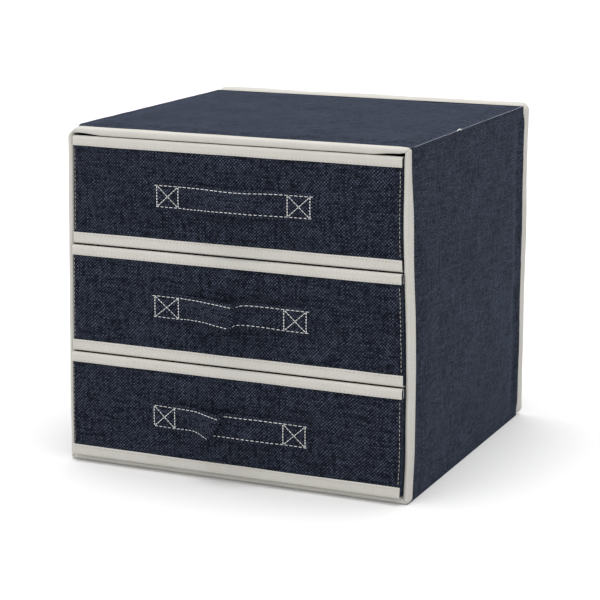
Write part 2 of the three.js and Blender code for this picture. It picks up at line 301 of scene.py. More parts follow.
def stitches(name, body, runs, radius, thread, length=2.7, gap=0.8, sink=0.5):
    """A piece with a small bent capsule of thread for each stitch of each run of (points, normals)."""
    found = [stitch_runs(p, n, length, gap, seed) for seed, (p, n) in enumerate(runs)]
    start, end, normal = (np.concatenate([f[k] for f in found]) for k in range(3))
    along = end - start
    along /= np.linalg.norm(along, axis=1, keepdims=True)
    normal = normal - (normal * along).sum(1, keepdims=True) * along
    normal /= np.linalg.norm(normal, axis=1, keepdims=True)
    side = np.cross(normal, along)
    where = np.array([0.0, 0.1, 0.3, 0.7, 0.9, 1.0])
    girth = np.array([0.4, 0.85, 1.0, 1.0, 0.85, 0.4]) * radius
    lift = (np.array([-1.3, -0.3, 0.25, 0.25, -0.3, -1.3]) + 1 - 2 * sink) * radius
    sides = 6
    turn = 2 * math.pi * np.arange(sides) / sides
    centre = start[:, None] + where[None, :, None] * (end - start)[:, None]
    centre = centre + lift[None, :, None] * normal[:, None]
    spoke = np.cos(turn)[None, :, None] * side[:, None] + np.sin(turn)[None, :, None] * normal[:, None]
    rings = centre[:, :, None] + girth[None, :, None, None] * spoke[:, None]
    rings = rings[:, :, ::-1]
    sewing = Sewing()
    u = where * length
    v = np.arange(sides + 1) * 2 * math.pi * radius / sides
    for k in range(len(rings)):
        sewing.tube(rings[k], u + k * 7.3, v)
    return sewing.piece(name, body, (thread, "thread"))


TAPE_STITCH = (2.4, 0.9)  # length of a stitch along a tape, and the gap to the next


# ---------------------------------------------------------------- materials
class Graph:
    """Builds a material's nodes: each method returns an output socket."""

    def __init__(self, name):
        self.material = bpy.data.materials.new(name)
        self.material.use_nodes = True
        self.nodes = self.material.node_tree.nodes
        self.links = self.material.node_tree.links
        self.shader = self.nodes["Principled BSDF"]

    def plug(self, socket, value):
        if isinstance(value, bpy.types.NodeSocket):
            self.links.new(value, socket)
        else:
            socket.default_value = value

    def math(self, operation, a, b=0.0, c=0.0):
        node = self.nodes.new("ShaderNodeMath")
        node.operation = operation
        for socket, value in zip(node.inputs, (a, b, c)):
            self.plug(socket, value)
        return node.outputs[0]

    def times(self, a, b):
        return self.math("MULTIPLY", a, b)

    def mix(self, share, a, b):
        node = self.nodes.new("ShaderNodeMix")
        node.data_type = "RGBA"
        self.plug(node.inputs["Factor"], share)
        self.plug(node.inputs["A"], a)
        self.plug(node.inputs["B"], b)
        return node.outputs["Result"]

    def cloth_map(self):
        node = self.nodes.new("ShaderNodeUVMap")
        node.uv_map = "cloth"
        return node.outputs["UV"]

    def object_map(self):
        return self.nodes.new("ShaderNodeTexCoord").outputs["Object"]

    def split(self, vector):
        node = self.nodes.new("ShaderNodeSeparateXYZ")
        self.plug(node.inputs[0], vector)
        return node.outputs

    def join(self, x, y, z=0.0):
        node = self.nodes.new("ShaderNodeCombineXYZ")
        for socket, value in zip(node.inputs, (x, y, z)):
            self.plug(socket, value)
        return node.outputs[0]

    def noise(self, vector, scale, detail=2.0, rough=0.5):
        node = self.nodes.new("ShaderNodeTexNoise")
        self.plug(node.inputs["Vector"], vector)
        node.inputs["Scale"].default_value = scale
        node.inputs["Detail"].default_value = detail
        node.inputs["Roughness"].default_value = rough
        return node.outputs["Fac"]

    def ramp(self, value, low, high, to_low=0.0, to_high=1.0):
        node = self.nodes.new("ShaderNodeMapRange")
        self.plug(node.inputs["Value"], value)
        for key, number in (("From Min", low), ("From Max", high), ("To Min", to_low), ("To Max", to_high)):
            node.inputs[key].default_value = number
        return node.outputs[0]

    def bump(self, height, strength, distance_mm, before=None):
        node = self.nodes.new("ShaderNodeBump")
        node.inputs["Strength"].default_value = strength
        node.inputs["Distance"].default_value = distance_mm * MM
        self.plug(node.inputs["Height"], height)
        if before is not None:
            self.links.new(before, node.inputs["Normal"])
        return node.outputs[0]

    def finish(
        self, color, roughness, normal, sheen=0.0, sheen_roughness=0.5, sheen_tint=(1, 1, 1), gloss=0.3
    ):
        self.plug(self.shader.inputs["Base Color"], color)
        self.plug(self.shader.inputs["Roughness"], roughness)
        self.links.new(normal, self.shader.inputs["Normal"])
        self.shader.inputs["Specular IOR Level"].default_value = gloss
        self.shader.inputs["Sheen Weight"].default_value = sheen
        self.shader.inputs["Sheen Roughness"].default_value = sheen_roughness
        self.shader.inputs["Sheen Tint"].default_value = (*sheen_tint, 1)
        return self.material


def weave(graph, pitch, waviness):
    """A plain weave on the cloth map. Returns its height, where the weft is on top, a shade that
    runs along each thread and a shade for each crossing."""
    uv = graph.cloth_map()
    wander = graph.noise(uv, 0.09, 2.0)
    shift = graph.times(graph.math("SUBTRACT", wander, 0.5), waviness)
    u, v, _ = graph.split(uv)
    u = graph.math("DIVIDE", graph.math("ADD", u, shift), pitch)
    v = graph.math("DIVIDE", graph.math("SUBTRACT", v, shift), pitch)
    warp_id, weft_id = graph.math("FLOOR", u), graph.math("FLOOR", v)
    warp = graph.math("SINE", graph.times(graph.math("FRACT", u), math.pi))
    weft = graph.math("SINE", graph.times(graph.math("FRACT", v), math.pi))
    parity = graph.math("FLOORED_MODULO", graph.math("ADD", warp_id, weft_id), 2.0)
    weft_up = graph.math("GREATER_THAN", parity, 0.5)
    over_warp = graph.times(warp, graph.math("MULTIPLY_ADD", weft, 0.5, 0.5))
    over_weft = graph.times(weft, graph.math("MULTIPLY_ADD", warp, 0.5, 0.5))
    height = graph.mix(weft_up, over_warp, over_weft)
    slub_warp = graph.noise(graph.join(graph.times(warp_id, 3.7), graph.times(v, 0.07)), 1.0)
    slub_weft = graph.noise(graph.join(graph.times(u, 0.07), graph.times(weft_id, 3.7), 5.0), 1.0)
    crossing = graph.nodes.new("ShaderNodeTexWhiteNoise")
    graph.plug(crossing.inputs["Vector"], graph.join(warp_id, weft_id))
    return height, weft_up, (slub_warp, slub_weft), crossing.outputs["Value"]


def navy_cloth():
    graph = Graph("navy_melange_weave")
    height, weft_up, (slub_warp, slub_weft), crossing = weave(graph, 1.38, 2.2)
    mottle = graph.noise(graph.cloth_map(), 0.28, 2.0)
    bright = graph.math("MULTIPLY_ADD", slub_warp, 0.65, graph.times(slub_weft, 0.65))
    bright = graph.math("MULTIPLY_ADD", mottle, 0.25, bright)
    bright = graph.math("MULTIPLY_ADD", crossing, 0.28, bright)
    warp_colors = (0.0016, 0.002, 0.004, 1), (0.0088, 0.0108, 0.0195, 1)
    weft_colors = (0.011, 0.0135, 0.022, 1), (0.067, 0.080, 0.120, 1)
    warp_color = graph.mix(graph.ramp(bright, 0.76, 1.12), *warp_colors)
    weft_color = graph.mix(graph.ramp(bright, 0.74, 1.16), *weft_colors)
    color = graph.mix(weft_up, warp_color, weft_color)
    fleck = graph.noise(graph.cloth_map(), 0.8, 1.0)
    color = graph.mix(graph.ramp(fleck, 0.66, 0.8, 0.0, 0.5), color, (0.10, 0.117, 0.16, 1))
    # painted shade: the low places of the weave, between and under the threads, are darkened as if shade lay in
    # the crevices
    color = graph.mix(graph.ramp(height, 0.05, 0.55, 0.8, 0.0), color, (0.001, 0.0013, 0.0022, 1))
    blotch = graph.noise(graph.object_map(), 14.0, 3.0)
    color = graph.mix(graph.ramp(blotch, 0.35, 0.7, 0.0, 0.22), color, (0.009, 0.011, 0.018, 1))
    roughness = graph.ramp(bright, 0.6, 1.3, 0.95, 0.8)
    normal = graph.bump(height, 0.7, 0.35)
    return graph.finish(color, roughness, normal, 0.27, 0.1, (0.5, 0.66, 1.0), 0.05)


def cream_tape():
    graph = Graph("cream_binding_tape")
    height, _, (slub, _), _ = weave(graph, 0.42, 0.6)
    place = graph.object_map()
    soil = graph.noise(place, 30.0, 4.0, 0.6)
    color = graph.mix(graph.ramp(slub, 0.3, 0.7), (0.455, 0.442, 0.406, 1), (0.490, 0.479, 0.446, 1))
    # painted shade: the low places of the tape's weave are darkened as if shade lay between the threads
    color = graph.mix(graph.ramp(height, 0.0, 0.5, 0.25, 0.0), color, (0.33, 0.315, 0.28, 1))
    color = graph.mix(graph.ramp(soil, 0.45, 0.75, 0.0, 0.3), color, (0.40, 0.38, 0.335, 1))
    soft = graph.noise(place, 220.0, 2.0)
    normal = graph.bump(soft, 0.3, 0.4)
    normal = graph.bump(height, 0.35, 0.12, normal)
    return graph.finish(color, graph.ramp(soil, 0.3, 0.7, 0.6, 0.78), normal, 0.12, 0.4)


def lining_cloth():
    graph = Graph("embossed_nonwoven")
    uv = graph.cloth_map()
    u, v, _ = graph.split(uv)
    a = graph.math("SINE", graph.times(graph.math("ADD", u, v), 2.6))
    b = graph.math("SINE", graph.times(graph.math("SUBTRACT", u, v), 2.6))
    dots = graph.ramp(graph.times(a, b), 0.35, 0.8)
    fibre = graph.noise(graph.join(graph.times(u, 3.5), graph.times(v, 1.2)), 1.0, 4.0, 0.7)
    cloud = graph.noise(graph.object_map(), 25.0, 3.0)
    color = graph.mix(graph.ramp(fibre, 0.3, 0.7), (0.026, 0.029, 0.038, 1), (0.06, 0.065, 0.08, 1))
    color = graph.mix(graph.ramp(cloud, 0.35, 0.7, 0.0, 0.4), color, (0.04, 0.043, 0.054, 1))
    color = graph.mix(graph.times(dots, 0.5), color, (0.02, 0.022, 0.03, 1))
    normal = graph.bump(fibre, 0.35, 0.15)
    normal = graph.bump(graph.math("SUBTRACT", 1.0, dots), 0.5, 0.2, normal)
    return graph.finish(color, graph.ramp(dots, 0.0, 1.0, 0.9, 0.7), normal, 0.2, 0.5)


def cardboard():
    graph = Graph("grey_brown_board")
    place = graph.object_map()
    x, y, z = graph.split(place)
    stretched = graph.join(graph.times(x, 0.35), y, graph.times(z, 0.35))
    fibre = graph.noise(stretched, 900.0, 4.0, 0.7)
    cloud = graph.noise(place, 35.0, 4.0)
    speck = graph.noise(place, 700.0, 1.0)
    color = graph.mix(graph.ramp(fibre, 0.3, 0.7), (0.30, 0.21, 0.125, 1), (0.44, 0.33, 0.21, 1))
    color = graph.mix(graph.ramp(cloud, 0.35, 0.7, 0.0, 0.4), color, (0.27, 0.20, 0.13, 1))
    color = graph.mix(graph.ramp(speck, 0.7, 0.76), color, (0.12, 0.09, 0.06, 1))
    return graph.finish(color, graph.ramp(fibre, 0.2, 0.8, 0.95, 0.82), graph.bump(fibre, 0.4, 0.1))


def sewing_thread(name, low, high):
    graph = Graph(name)
    u, v, _ = graph.split(graph.cloth_map())
    ply = graph.math("SINE", graph.math("MULTIPLY_ADD", u, 7.0, graph.times(v, 4.0)))
    tone = graph.noise(graph.object_map(), 160.0, 2.0)
    color = graph.mix(graph.ramp(tone, 0.3, 0.7), (*low, 1), (*high, 1))
    # painted shade: the groove between the twisted plies is darkened as if shade lay in it
    color = graph.mix(graph.ramp(ply, -1.0, 0.0, 0.4, 0.0), color, tuple(0.5 * c for c in low) + (1,))
    return graph.finish(color, graph.ramp(ply, -1.0, 1.0, 0.7, 0.5), graph.bump(ply, 0.5, 0.1), 0.2, 0.4)


NAVY = (navy_cloth(), "navy_cloth")
CREAM = (cream_tape(), "cream_tape")
LINING_CLOTH = (lining_cloth(), "lining_cloth")
BOARD = (cardboard(), "cardboard")
THREAD = sewing_thread("offwhite_sewing_thread", (0.62, 0.62, 0.61), (0.86, 0.86, 0.84))
TAPE_THREAD = sewing_thread("beige_sewing_thread", (0.36, 0.34, 0.29), (0.46, 0.44, 0.39))
SEAM_THREAD = sewing_thread("blue_grey_sewing_thread", (0.20, 0.22, 0.28), (0.40, 0.42, 0.50))


# ---------------------------------------------------------------- case cloth
def case_panel(name, node, origin, across, up, spans, lift):
    """One cloth panel of the case: origin + a across + b up + lift(a, b) along the normal."""
    a = stations(*spans[0], 4.0)
    b = stations(*spans[1], 4.0)
    ga, gb = np.meshgrid(a, b, indexing="ij")
    across, up = np.array(across, float), np.array(up, float)
    normal = np.cross(across, up)
    outer = np.array(origin, float) + ga[..., None] * across + gb[..., None] * up
    outer = outer + lift(ga, gb)[..., None] * normal
    cut_back(outer, 0.6)
    sewing = Sewing()
    sewing.sheet(outer, CLOTH, a, b)
    piece = sewing.piece(name, "case", NAVY, [node])
    return piece


def side_lift(y, z, seed):
    """How far a side cloth stands off: slack over the board, dipping at the flaps and flaring at the back."""
    height = np.clip(z / TOP_Z, 0, 1)
    slack = eased((y - FLAP_Y) / 30) * eased((BACK_Y - y) / 25) * np.sin(math.pi * height) ** 0.7
    wrinkle = 0.22 * ripple(y, z, 55, seed) + 0.08 * ripple(y * 0.4, z * 1.5, 16, seed + 1)
    wrinkle = wrinkle * eased((y - FLAP_Y + 1) / 12)
    edge = eased((TOP_Z - z) / 18) * eased(z / 18)
    flare = (1.5 + 0.3 * ripple(z, z, 90, seed + 2)) * hump(BACK_Y - y, 8.0)
    crease = -0.7 * hump(y - (BACK_Y - 16), 6.0)
    tuck = -0.25 * hump(y - FLAP_Y - 1.0, 1.6)
    pinch = RIDGE * hump(TOP_Z + RIDGE - z, 1.0)
    bow = 1.1 * slack
    return bow + (wrinkle * 0.9 + flare + crease) * edge + tuck + pinch + 0.12


def top_lift(x, y, seed):
    """How far the top cloth stands off: it puffs up behind the binding and sinks toward the seams."""
    slack = eased((y - FLAP_Y + 2) / 26) * eased((BACK_Y - y) / 30) * eased((SIDE_X - np.abs(x)) / 22)
    wrinkle = 0.25 * ripple(x, y, 60, seed) + 0.08 * ripple(x, y, 18, seed + 1)
    wrinkle = wrinkle * eased((y - FLAP_Y + 1) / 12)
    tuck = -0.2 * hump(y - FLAP_Y + 2.0, 2.0)
    pinch = RIDGE * hump(SIDE_X + RIDGE - np.abs(x), 1.0) * eased((y - FLAP_Y + 1) / 3)
    return 1.5 * slack + wrinkle * eased((SIDE_X - np.abs(x)) / 10) + tuck + pinch + 0.05


def plain_lift(a, b, spans, seed):
    """A nearly flat panel, with slack in its middle."""
    rise = between(a, *spans[0], 25) * between(b, *spans[1], 25)
    return rise * (0.7 + 0.25 * ripple(a, b, 60, seed)) + 0.1


def case_cloth():
    front = FRONT_Y + 1.7  # the cloth's own front edge, inside the binding
    top_edge = TOP_Z + RIDGE
    side_edge = SIDE_X + RIDGE
    side_span = ([front, BACK_Y], [0.4, top_edge])
    case_panel("case_right_cloth", "cover_right", (SIDE_X, 0, 0), (0, 1, 0), (0, 0, 1),
               side_span, lambda y, z: side_lift(y, z, 11))
    case_panel("case_left_cloth", "cover_left", (-SIDE_X, 0, 0), (0, -1, 0), (0, 0, 1),
               ([-BACK_Y, -front], [0.4, top_edge]), lambda y, z: side_lift(-y, z, 21))
    case_panel("case_top_cloth", "cover_top", (0, 0, TOP_Z), (1, 0, 0), (0, 1, 0),
               ([-side_edge, side_edge], [front, BACK_Y]), lambda x, y: top_lift(x, y, 31))
    under = ([-side_edge, side_edge], [FLAP_Y - 0.5, BACK_Y])
    case_panel("case_bottom_cloth", "cover_bottom", (0, 0, CLOTH), (-1, 0, 0), (0, 1, 0),
               under, lambda x, y: np.full_like(x, CLOTH))
    back = ([-side_edge, side_edge], [0.4, top_edge])
    case_panel("case_back_cloth", "cover_back", (0, BACK_Y, 0), (-1, 0, 0), (0, 0, 1),
               back, lambda x, z: plain_lift(x, z, back, 51))


# ---------------------------------------------------------------- case bindings
def upright_loop(half_x, low_z, high_z, radius, per_side=60, per_corner=8):
    """Points in x and z round an upright rounded rectangle, anticlockwise from the front."""
    corners = [(-half_x, low_z), (half_x, low_z), (half_x, high_z), (-half_x, high_z)]
    return filleted(corners, radius, per_side, per_corner, closed=True)


def loop_columns(profile, loop_at):
    """A grid of points round loops. profile lists (key, y), and loop_at(key, y) gives a loop's x and z."""
    columns = []
    for key, y in profile:
        loop = loop_at(key, y)
        columns.append(np.stack([loop[:, 0], np.full(len(loop), y), loop[:, 1]], 1))
    return np.stack(columns, 1)


def loop_tape(name, outer, node):
    """A cream tape round the case with that outer face. Returns the piece and its normals."""
    sewing = Sewing()
    normal = sewing.sheet(outer, TAPE, girth(outer[:, 0]), arc_length(outer[0]), wrap=True)
    return sewing.piece(name, "case", CREAM, [node]), normal


def front_binding():
    """Tape folded over the case's front edges: an outer flap, a rounded nose and an inner leg."""
    half, top = BINDING_HIGH[0], BINDING_HIGH[2]
    width = half - (box_of("case_lining")[1][0] - LINING - 0.75)
    flap = FLAP_Y - FRONT_Y
    nose = 2.0  # depth and width of the rounded nose on each side
    profile = [(0.0, FLAP_Y - 0.2 - flap * 0.13 * k) for k in range(6)]

    def nose_at(angle):
        return nose * (1 - math.cos(angle)), FRONT_Y + nose - (nose + 0.25) * math.sin(angle)

    turns = np.radians([20, 45, 70, 90])
    profile += [nose_at(angle) for angle in turns]
    profile += [(width / 2, FRONT_Y - 0.4)]
    profile += [(width - offset, y) for offset, y in map(nose_at, turns[::-1])]
    profile += [(width, FLAP_Y - 0.2 - flap * 0.2 * k) for k in (3, 2, 1, 0)]
    offset = np.array([p[0] for p in profile])[None, :]
    is_flap = (np.arange(len(profile)) < 6)[None, :]

    def loop_at(offset, _):
        return upright_loop(half - offset, offset, top - offset, max(0.6, 2.6 - offset * 0.4))

    def change(outer):
        x, y, z = (outer[..., k].copy() for k in range(3))
        on_side = np.abs(x) > half - 8
        along = np.where(on_side, z, x)
        share = 0.26 + 0.74 * eased((top - z) / 58)
        share = share + (0.64 - share) * (z > top / 2) * eased((half - np.abs(x)) / 8)
        near, far = FRONT_Y + 1.5, FRONT_Y + np.maximum(share * flap, 2.5)
        deep = (y - FRONT_Y - 2.2) / (flap - 2.4)
        outer[..., 1] = np.where(is_flap, near + deep * (far - near), y)
        behind = eased((y - FRONT_Y - 1.5) / 6)
        outward = np.stack([np.sign(x) * on_side, 0 * x, 1.0 * ~on_side], -1)
        bow = 0.3 * (x > half - 8) * np.sin(math.pi * z / half / 2)
        stands = 0.3 + 0.15 * ripple(along, y * 0, 60, 71) + bow
        stands = np.where(z < 3, 0, stands) * np.where(on_side | (z < 3), 1, 0.55)
        outer += outward * (stands * behind * is_flap)[..., None]
        inward = eased((offset - width / 3) / (width / 2)) * (z > top / 2)
        outer[..., 2] -= 1.5 * inward * eased((half - 12 - np.abs(x)) / 22)
        notch = hump(np.abs(half - offset - x) + np.abs(top - offset - z), 2.6) * (offset > width * 0.8)
        outer[..., 0] += 0.9 * notch
        outer[..., 2] += 0.9 * notch
        corner = half - np.abs(x) + np.minimum(z, top - z)
        mitre = np.abs(half - np.abs(x) - np.minimum(z, top - z))
        cut_side = (x < 0) & (z > top / 2)
        mitre = np.where(cut_side, top - CORNER_CUT - 0.6 + 0.3 * (half + x) - z, mitre)
        fold = hump(mitre, 0.45) * eased((15 - corner) / 3) * np.where(cut_side & (offset > 4), 0, 1)
        face = y < FRONT_Y + 1.3
        outer[..., 1] += 0.9 * fold * face
        outer[..., 1] += 0.12 * ripple(along, y * 0, 45, 72) * face
        push = corner_cut(outer[..., 0], outer[..., 2], CORNER_CUT + 0.47 * offset)
        outer[..., 0] += push
        outer[..., 2] -= push
        return outer

    outer = change(loop_columns(profile, loop_at))
    piece, normal = loop_tape("front_binding_tape", outer, "front_binding")
    row = outer[:, 1] * 0.7 + outer[:, 2] * 0.3
    keep = row[:, 2] > 5
    runs = [(row[keep], normal[keep][:, 1])]
    stitches("front_binding_stitches", "case", runs, 0.2, TAPE_THREAD, *TAPE_STITCH)
    return piece


def back_binding():
    """Tape folded over the seam allowance that stands off the back edges."""
    depth = FLANGE_HIGH[1] - BACK_Y
    lean = (FLANGE_HIGH[0] - SIDE_X) / depth
    thick = 3.0
    nose = thick / 2
    runs_back = np.linspace(0, depth - nose, 6)
    profile = [(thick, s) for s in runs_back]
    for angle in np.radians([30, 60, 90, 120, 150]):
        profile.append((nose + nose * math.cos(angle), depth - nose + nose * math.sin(angle)))
    profile += [(0.0, s) for s in runs_back[::-1]]

    def loop_at(place, _):
        inset, s = place
        out = s * lean - inset
        return upright_loop(SIDE_X + 0.6 + out, 0.15 + inset, TOP_Z + 0.4 + out, max(1.5, 7.0 - inset))

    outer = loop_columns([((inset, s), BACK_Y - 0.2 + s) for inset, s in profile], loop_at)
    x, z = outer[..., 0], outer[..., 2]
    along = np.where(np.abs(x) > SIDE_X - 8, z, x)
    reach = eased((outer[..., 1] - BACK_Y) / depth)
    wave = reach * (0.2 * ripple(along, along * 0, 90, 81) + 0.06 * ripple(along, along * 0, 22, 82))
    on_side = np.abs(x) > SIDE_X - 8
    outer[..., 0] += np.where(on_side, np.sign(x) * wave, 0)
    outer[..., 2] += np.where(~on_side & (z > 20), wave, 0)
    piece, normal = loop_tape("back_binding_tape", outer, "back_binding")
    last = outer.shape[1] - 1
    sides = [(outer[:, k], normal[:, k]) for k in (1, last - 1)]
    stitches("back_binding_stitches", "case", sides, 0.26, TAPE_THREAD, *TAPE_STITCH)
    return piece


def top_seam_threads():
    """The edge stitching along the two top edges, with one loose thread end."""
    runs = []
    y = np.linspace(FLAP_Y + 1, BACK_Y - 1, 60)
    for side in (-1, 1):
        drift = 0.12 * ripple(y, y, 30, 90 + side)
        x = side * (SIDE_X + RIDGE + 0.05)
        points = np.stack([np.full_like(y, x), y, TOP_Z + RIDGE + 0.1 + drift], 1)
        normal = np.tile([side * 0.5, 0, 0.85], (len(y), 1))
        runs.append((points, normal))
    stitches("top_seam_stitches", "case", runs, 0.2, SEAM_THREAD, 2.9, 0.7)
    start = np.array([SIDE_X + RIDGE, FLAP_Y + 0.37 * (BACK_Y - FLAP_Y), TOP_Z + RIDGE + 0.2])
    t = np.linspace(0, 1, 9)
    curl = np.stack([0.3 + 1.2 * t, 5.5 * t - 2.0, 0.9 * np.sin(math.pi * t) + 0.2], 1)
    run = (start + curl, np.tile([0.3, 0, 1.0], (len(t), 1)))
    stitches("loose_thread_end", "case", [run], 0.42, THREAD, 1.9, 0.1)


# ---------------------------------------------------------------- case inside
def case_lining():
    low, high = box_of("case_lining")
    inside_x, low_z, high_z = high[0] - LINING, low[2] + LINING, high[2] - LINING
    depth = stations(low[1] + 3.4, high[1] - LINING, 8.0)
    walls_loop = upright_loop(inside_x, low_z, high_z, 2.0, 24, 5)
    outer = loop_columns([(None, y) for y in depth], lambda _, y: walls_loop)
    cut_back(outer, 4.9)
    sewing = Sewing()
    sewing.sheet(outer, LINING_SHEET, girth(outer[:, 0]), depth, wrap=True)
    x = stations(-inside_x, inside_x, 12.0)
    z = stations(low_z, high_z, 12.0)
    gx, gz = np.meshgrid(x, z, indexing="ij")
    calm = between(gx, -inside_x, inside_x, 20) * between(gz, low_z, high_z, 20)
    gy = high[1] - LINING - calm * (0.8 + 0.4 * ripple(gx, gz, 70, 95))
    sewing.sheet(np.stack([gx, gy, gz], -1), LINING_SHEET, x, z)
    piece = sewing.piece("case_lining_cloth", "case", LINING_CLOTH, ["case_lining"])
    return piece


def shelf_sleeve(name):
    """Cloth folded round a shelf board's front edge."""
    low, high = box_of(name + "_sleeve")
    r = (high[2] - low[2]) / 2
    back, front = high[1], low[1]
    runs = stations(front + r, back, 12.0)
    profile = [(y, low[2]) for y in runs[::-1]]
    for angle in np.radians([150, 120, 90, 60, 30]):
        profile.append((front + r - r * math.sin(angle), low[2] + r + r * math.cos(angle)))
    profile += [(y, high[2]) for y in runs]
    profile = np.array(profile)
    x = stations(low[0], high[0], 12.0)
    sewing = Sewing()
    sewing.sheet(np.stack(swept(x, profile), -1), LINING_SHEET, x, arc_length(profile))
    piece = sewing.piece(name + "_sleeve_cloth", "case", LINING_CLOTH, [name + "_sleeve"])
    return piece


# ---------------------------------------------------------------- drawers
def front_cover(drawer, seed):
    """The drawer front's cloth, turned round the side edges, with a row of stitching near each side edge."""
    low, high = box_of(drawer + "_front_cover")
    front, half = low[1], high[0]
    corners = [(-half, front + 9), (-half, front), (half, front), (half, front + 9)]
    plan = filleted(corners, 1.6, 70, 6)
    z = stations(low[2] + 0.1, high[2] - 0.1, 3.5)
    a = arc_length(plan)
    gx, gy, gz = walled(plan, z)
    calm = eased((half - 1.0 - np.abs(gx)) / 14) * between(gz, low[2] + 9, high[2] - 8, 12)
    puff = 0.55 + 0.3 * ripple(gx, gz, 70, seed) + 0.12 * ripple(gx, gz * 1.4, 24, seed + 1)
    on_face = np.abs(gx) < half - 1.2
    dimple = -0.2 * hump(np.abs(gx) - (half - 1.6), 0.7)
    gy = gy - on_face * (calm * puff + dimple)
    sewing = Sewing()
    sewing.sheet(np.stack([gx, gy, gz], -1), CLOTH, a, z)
    piece = sewing.piece(drawer + "_front_cloth", drawer, NAVY, [drawer + "_front_cover"])
    rows = []
    for side in (-1, 1):
        zs = np.linspace(low[2] + 9.5, high[2] - 8.5, 30)
        x = side * (half - 1.5) + 0.1 * ripple(zs, zs, 20, seed + side)
        points = np.stack([x, np.full_like(zs, front - 0.1), zs], 1)
        rows.append((points, np.tile([0, -1.0, 0], (len(zs), 1))))
    stitches(drawer + "_edge_stitches", drawer, rows, 0.2, TAPE_THREAD, 2.4, 1.2)


def tape_strip(drawer, kind, profile_of, stitch_at, seed):
    """A tape along a drawer front's top or bottom edge, swept along x."""
    low, high = box_of(drawer + "_" + kind)
    x = stations(low[0] - 0.2, high[0] + 0.2, 3.0)
    profile = np.array(profile_of(low, high))
    gx, gy, gz = swept(x, profile)
    front = low[1]
    on_face = eased((front + 1.2 - gy) / 1.2)
    gy = gy - on_face * (0.10 * ripple(gx, gz * 2, 45, seed) + 0.03 * ripple(gx, gz, 11, seed + 1))
    free = hump(gz - stitch_at(low, high)[1], 1.6) * on_face
    gz = gz + free * 0.08 * ripple(gx, gx * 0, 60, seed + 2)
    outer = np.stack([gx, gy, gz], -1)
    v = arc_length(profile)
    sewing = Sewing()
    normal = sewing.sheet(outer, TAPE, x, v)
    piece = sewing.piece(f"{drawer}_{kind}_fold", drawer, CREAM, [f"{drawer}_{kind}"])
    column = stitch_at(low, high)[0]
    near = np.argmin(np.abs(profile[:, 1] - column) + 10 * (profile[:, 0] > front + 0.5))
    rows = [(outer[2:-2, near], normal[2:-2, near])]
    stitches(f"{drawer}_{kind}_stitches", drawer, rows, 0.26, TAPE_THREAD, *TAPE_STITCH)


def bend(centre, first, second, degrees):
    """Points round a bend, from the first spoke off its centre toward the second, at those angles."""
    turns = [(math.cos(a), math.sin(a)) for a in np.radians(degrees)]
    return [tuple(centre[k] + first[k] * c + second[k] * s for k in (0, 1)) for c, s in turns]


def rim_profile(low, high):
    """Up the face, over the top edge and down the inside."""
    front, back, bottom, top = low[1], high[1], low[2], high[2]
    r = 2.2
    points = [(front + 0.25, bottom), (front - 0.15, bottom + 0.5)]
    points += [(front, z) for z in np.linspace(bottom + 1.5, top - r, 5)]
    points += bend((front + r, top - r), (-r, 0), (0, r), (22, 45, 68, 90))
    points += bend((back - r, top - r), (0, r), (r, 0), (0, 22, 45, 68, 90))
    points += [(back, z) for z in np.linspace(top - r - 1, bottom, 4)]
    return points


def sill_profile(low, high):
    """Forward under the drawer, round the bottom edge and up the face."""
    front, back, bottom, top = low[1], high[1], low[2], high[2]
    r = 2.0
    points = [(y, bottom) for y in np.linspace(back, front + r, 4)]
    points += bend((front + r, bottom + r), (0, -r), (-r, 0), (22, 45, 68, 90))
    points += [(front, z) for z in np.linspace(bottom + r + 1, top - 1.5, 5)]
    points += [(front - 0.15, top - 0.5), (front + 0.25, top)]
    return points


# Stations along each strap, left to right, between its two flat ends: x, distance off the front, how far the
# upper edge leans back, how far it slants to the right, and how far the strap sags.
STRAPS = {
    "top_drawer": [
        (-47.5, 0.3, 0, 0, 0), (-38, 1.4, 0.5, 0, 0), (-25, 4.6, 2.2, 0, -0.4), (-10, 7.8, 3.6, 0, -0.6),
        (5, 8.8, 4.2, 0, -0.6), (20, 7.4, 3.4, 0, -0.5), (33, 3.6, 1.6, 0, -0.3), (42, 1, 0.4, 0, 0),
        (48.5, 0.3, 0, 0, 0),
    ],
    "middle_drawer": [
        (-46, 0.3, 0, 0, 0), (-38, 2.6, 0, 0, -0.7), (-20, 8.2, 0.2, 0.3, -1.1), (-4, 12.9, 0.3, 1.2, -0.7),
        (4, 15.2, 0.3, 1.8, -0.4), (6.8, 15.6, 0.2, 1.9, -0.4), (8, 13.6, 0.4, 1.9, -0.8),
        (8.8, 10.6, 0.8, 1.8, -1.4), (10.8, 8.4, 1.2, 1.4, -1.9), (17, 6.6, 1.4, 0.5, -2.0),
        (27, 4.4, 1.2, 0, -1.7), (38, 2, 0.5, 0, -0.9), (46.5, 0.3, 0, 0, -0.2),
    ],
    "bottom_drawer": [
        (-51, 0.3, 0, 0, 0), (-42, 1.2, 0, 0, -0.4), (-32, 3.6, 0.1, 0.4, -0.9), (-21.5, 8.6, 0.2, 2, -0.8),
        (-13, 13.4, 0.3, 4.4, -0.4), (-8.6, 15.4, 0.3, 5.5, -0.2), (-7.4, 14.6, 0.2, 5.5, -0.4),
        (-9.2, 12.2, 0.2, 4.8, -0.8), (-11, 10, 0.5, 3.8, -0.9), (-10.8, 8.2, 0.9, 3, -0.9),
        (-8.2, 6.8, 1.4, 2.2, -0.9), (-1, 6, 1.9, 0.8, -0.9), (10, 5.2, 1.9, 0, -0.8),
        (24, 3.6, 1.4, 0, -0.5), (37, 1.4, 0.5, 0, 0), (46.5, 0.3, 0, 0, 0),
    ],
}
# how far some stitched boxes are sewn off their marks
BOX_MOVED = {"middle_drawer_left": (0.0, 2.2), "bottom_drawer_left": (-1.2, -1.5)}
# how far each strap drops to the right
TILT = {"top_drawer": 0.0, "middle_drawer": 0.006, "bottom_drawer": 0.017}


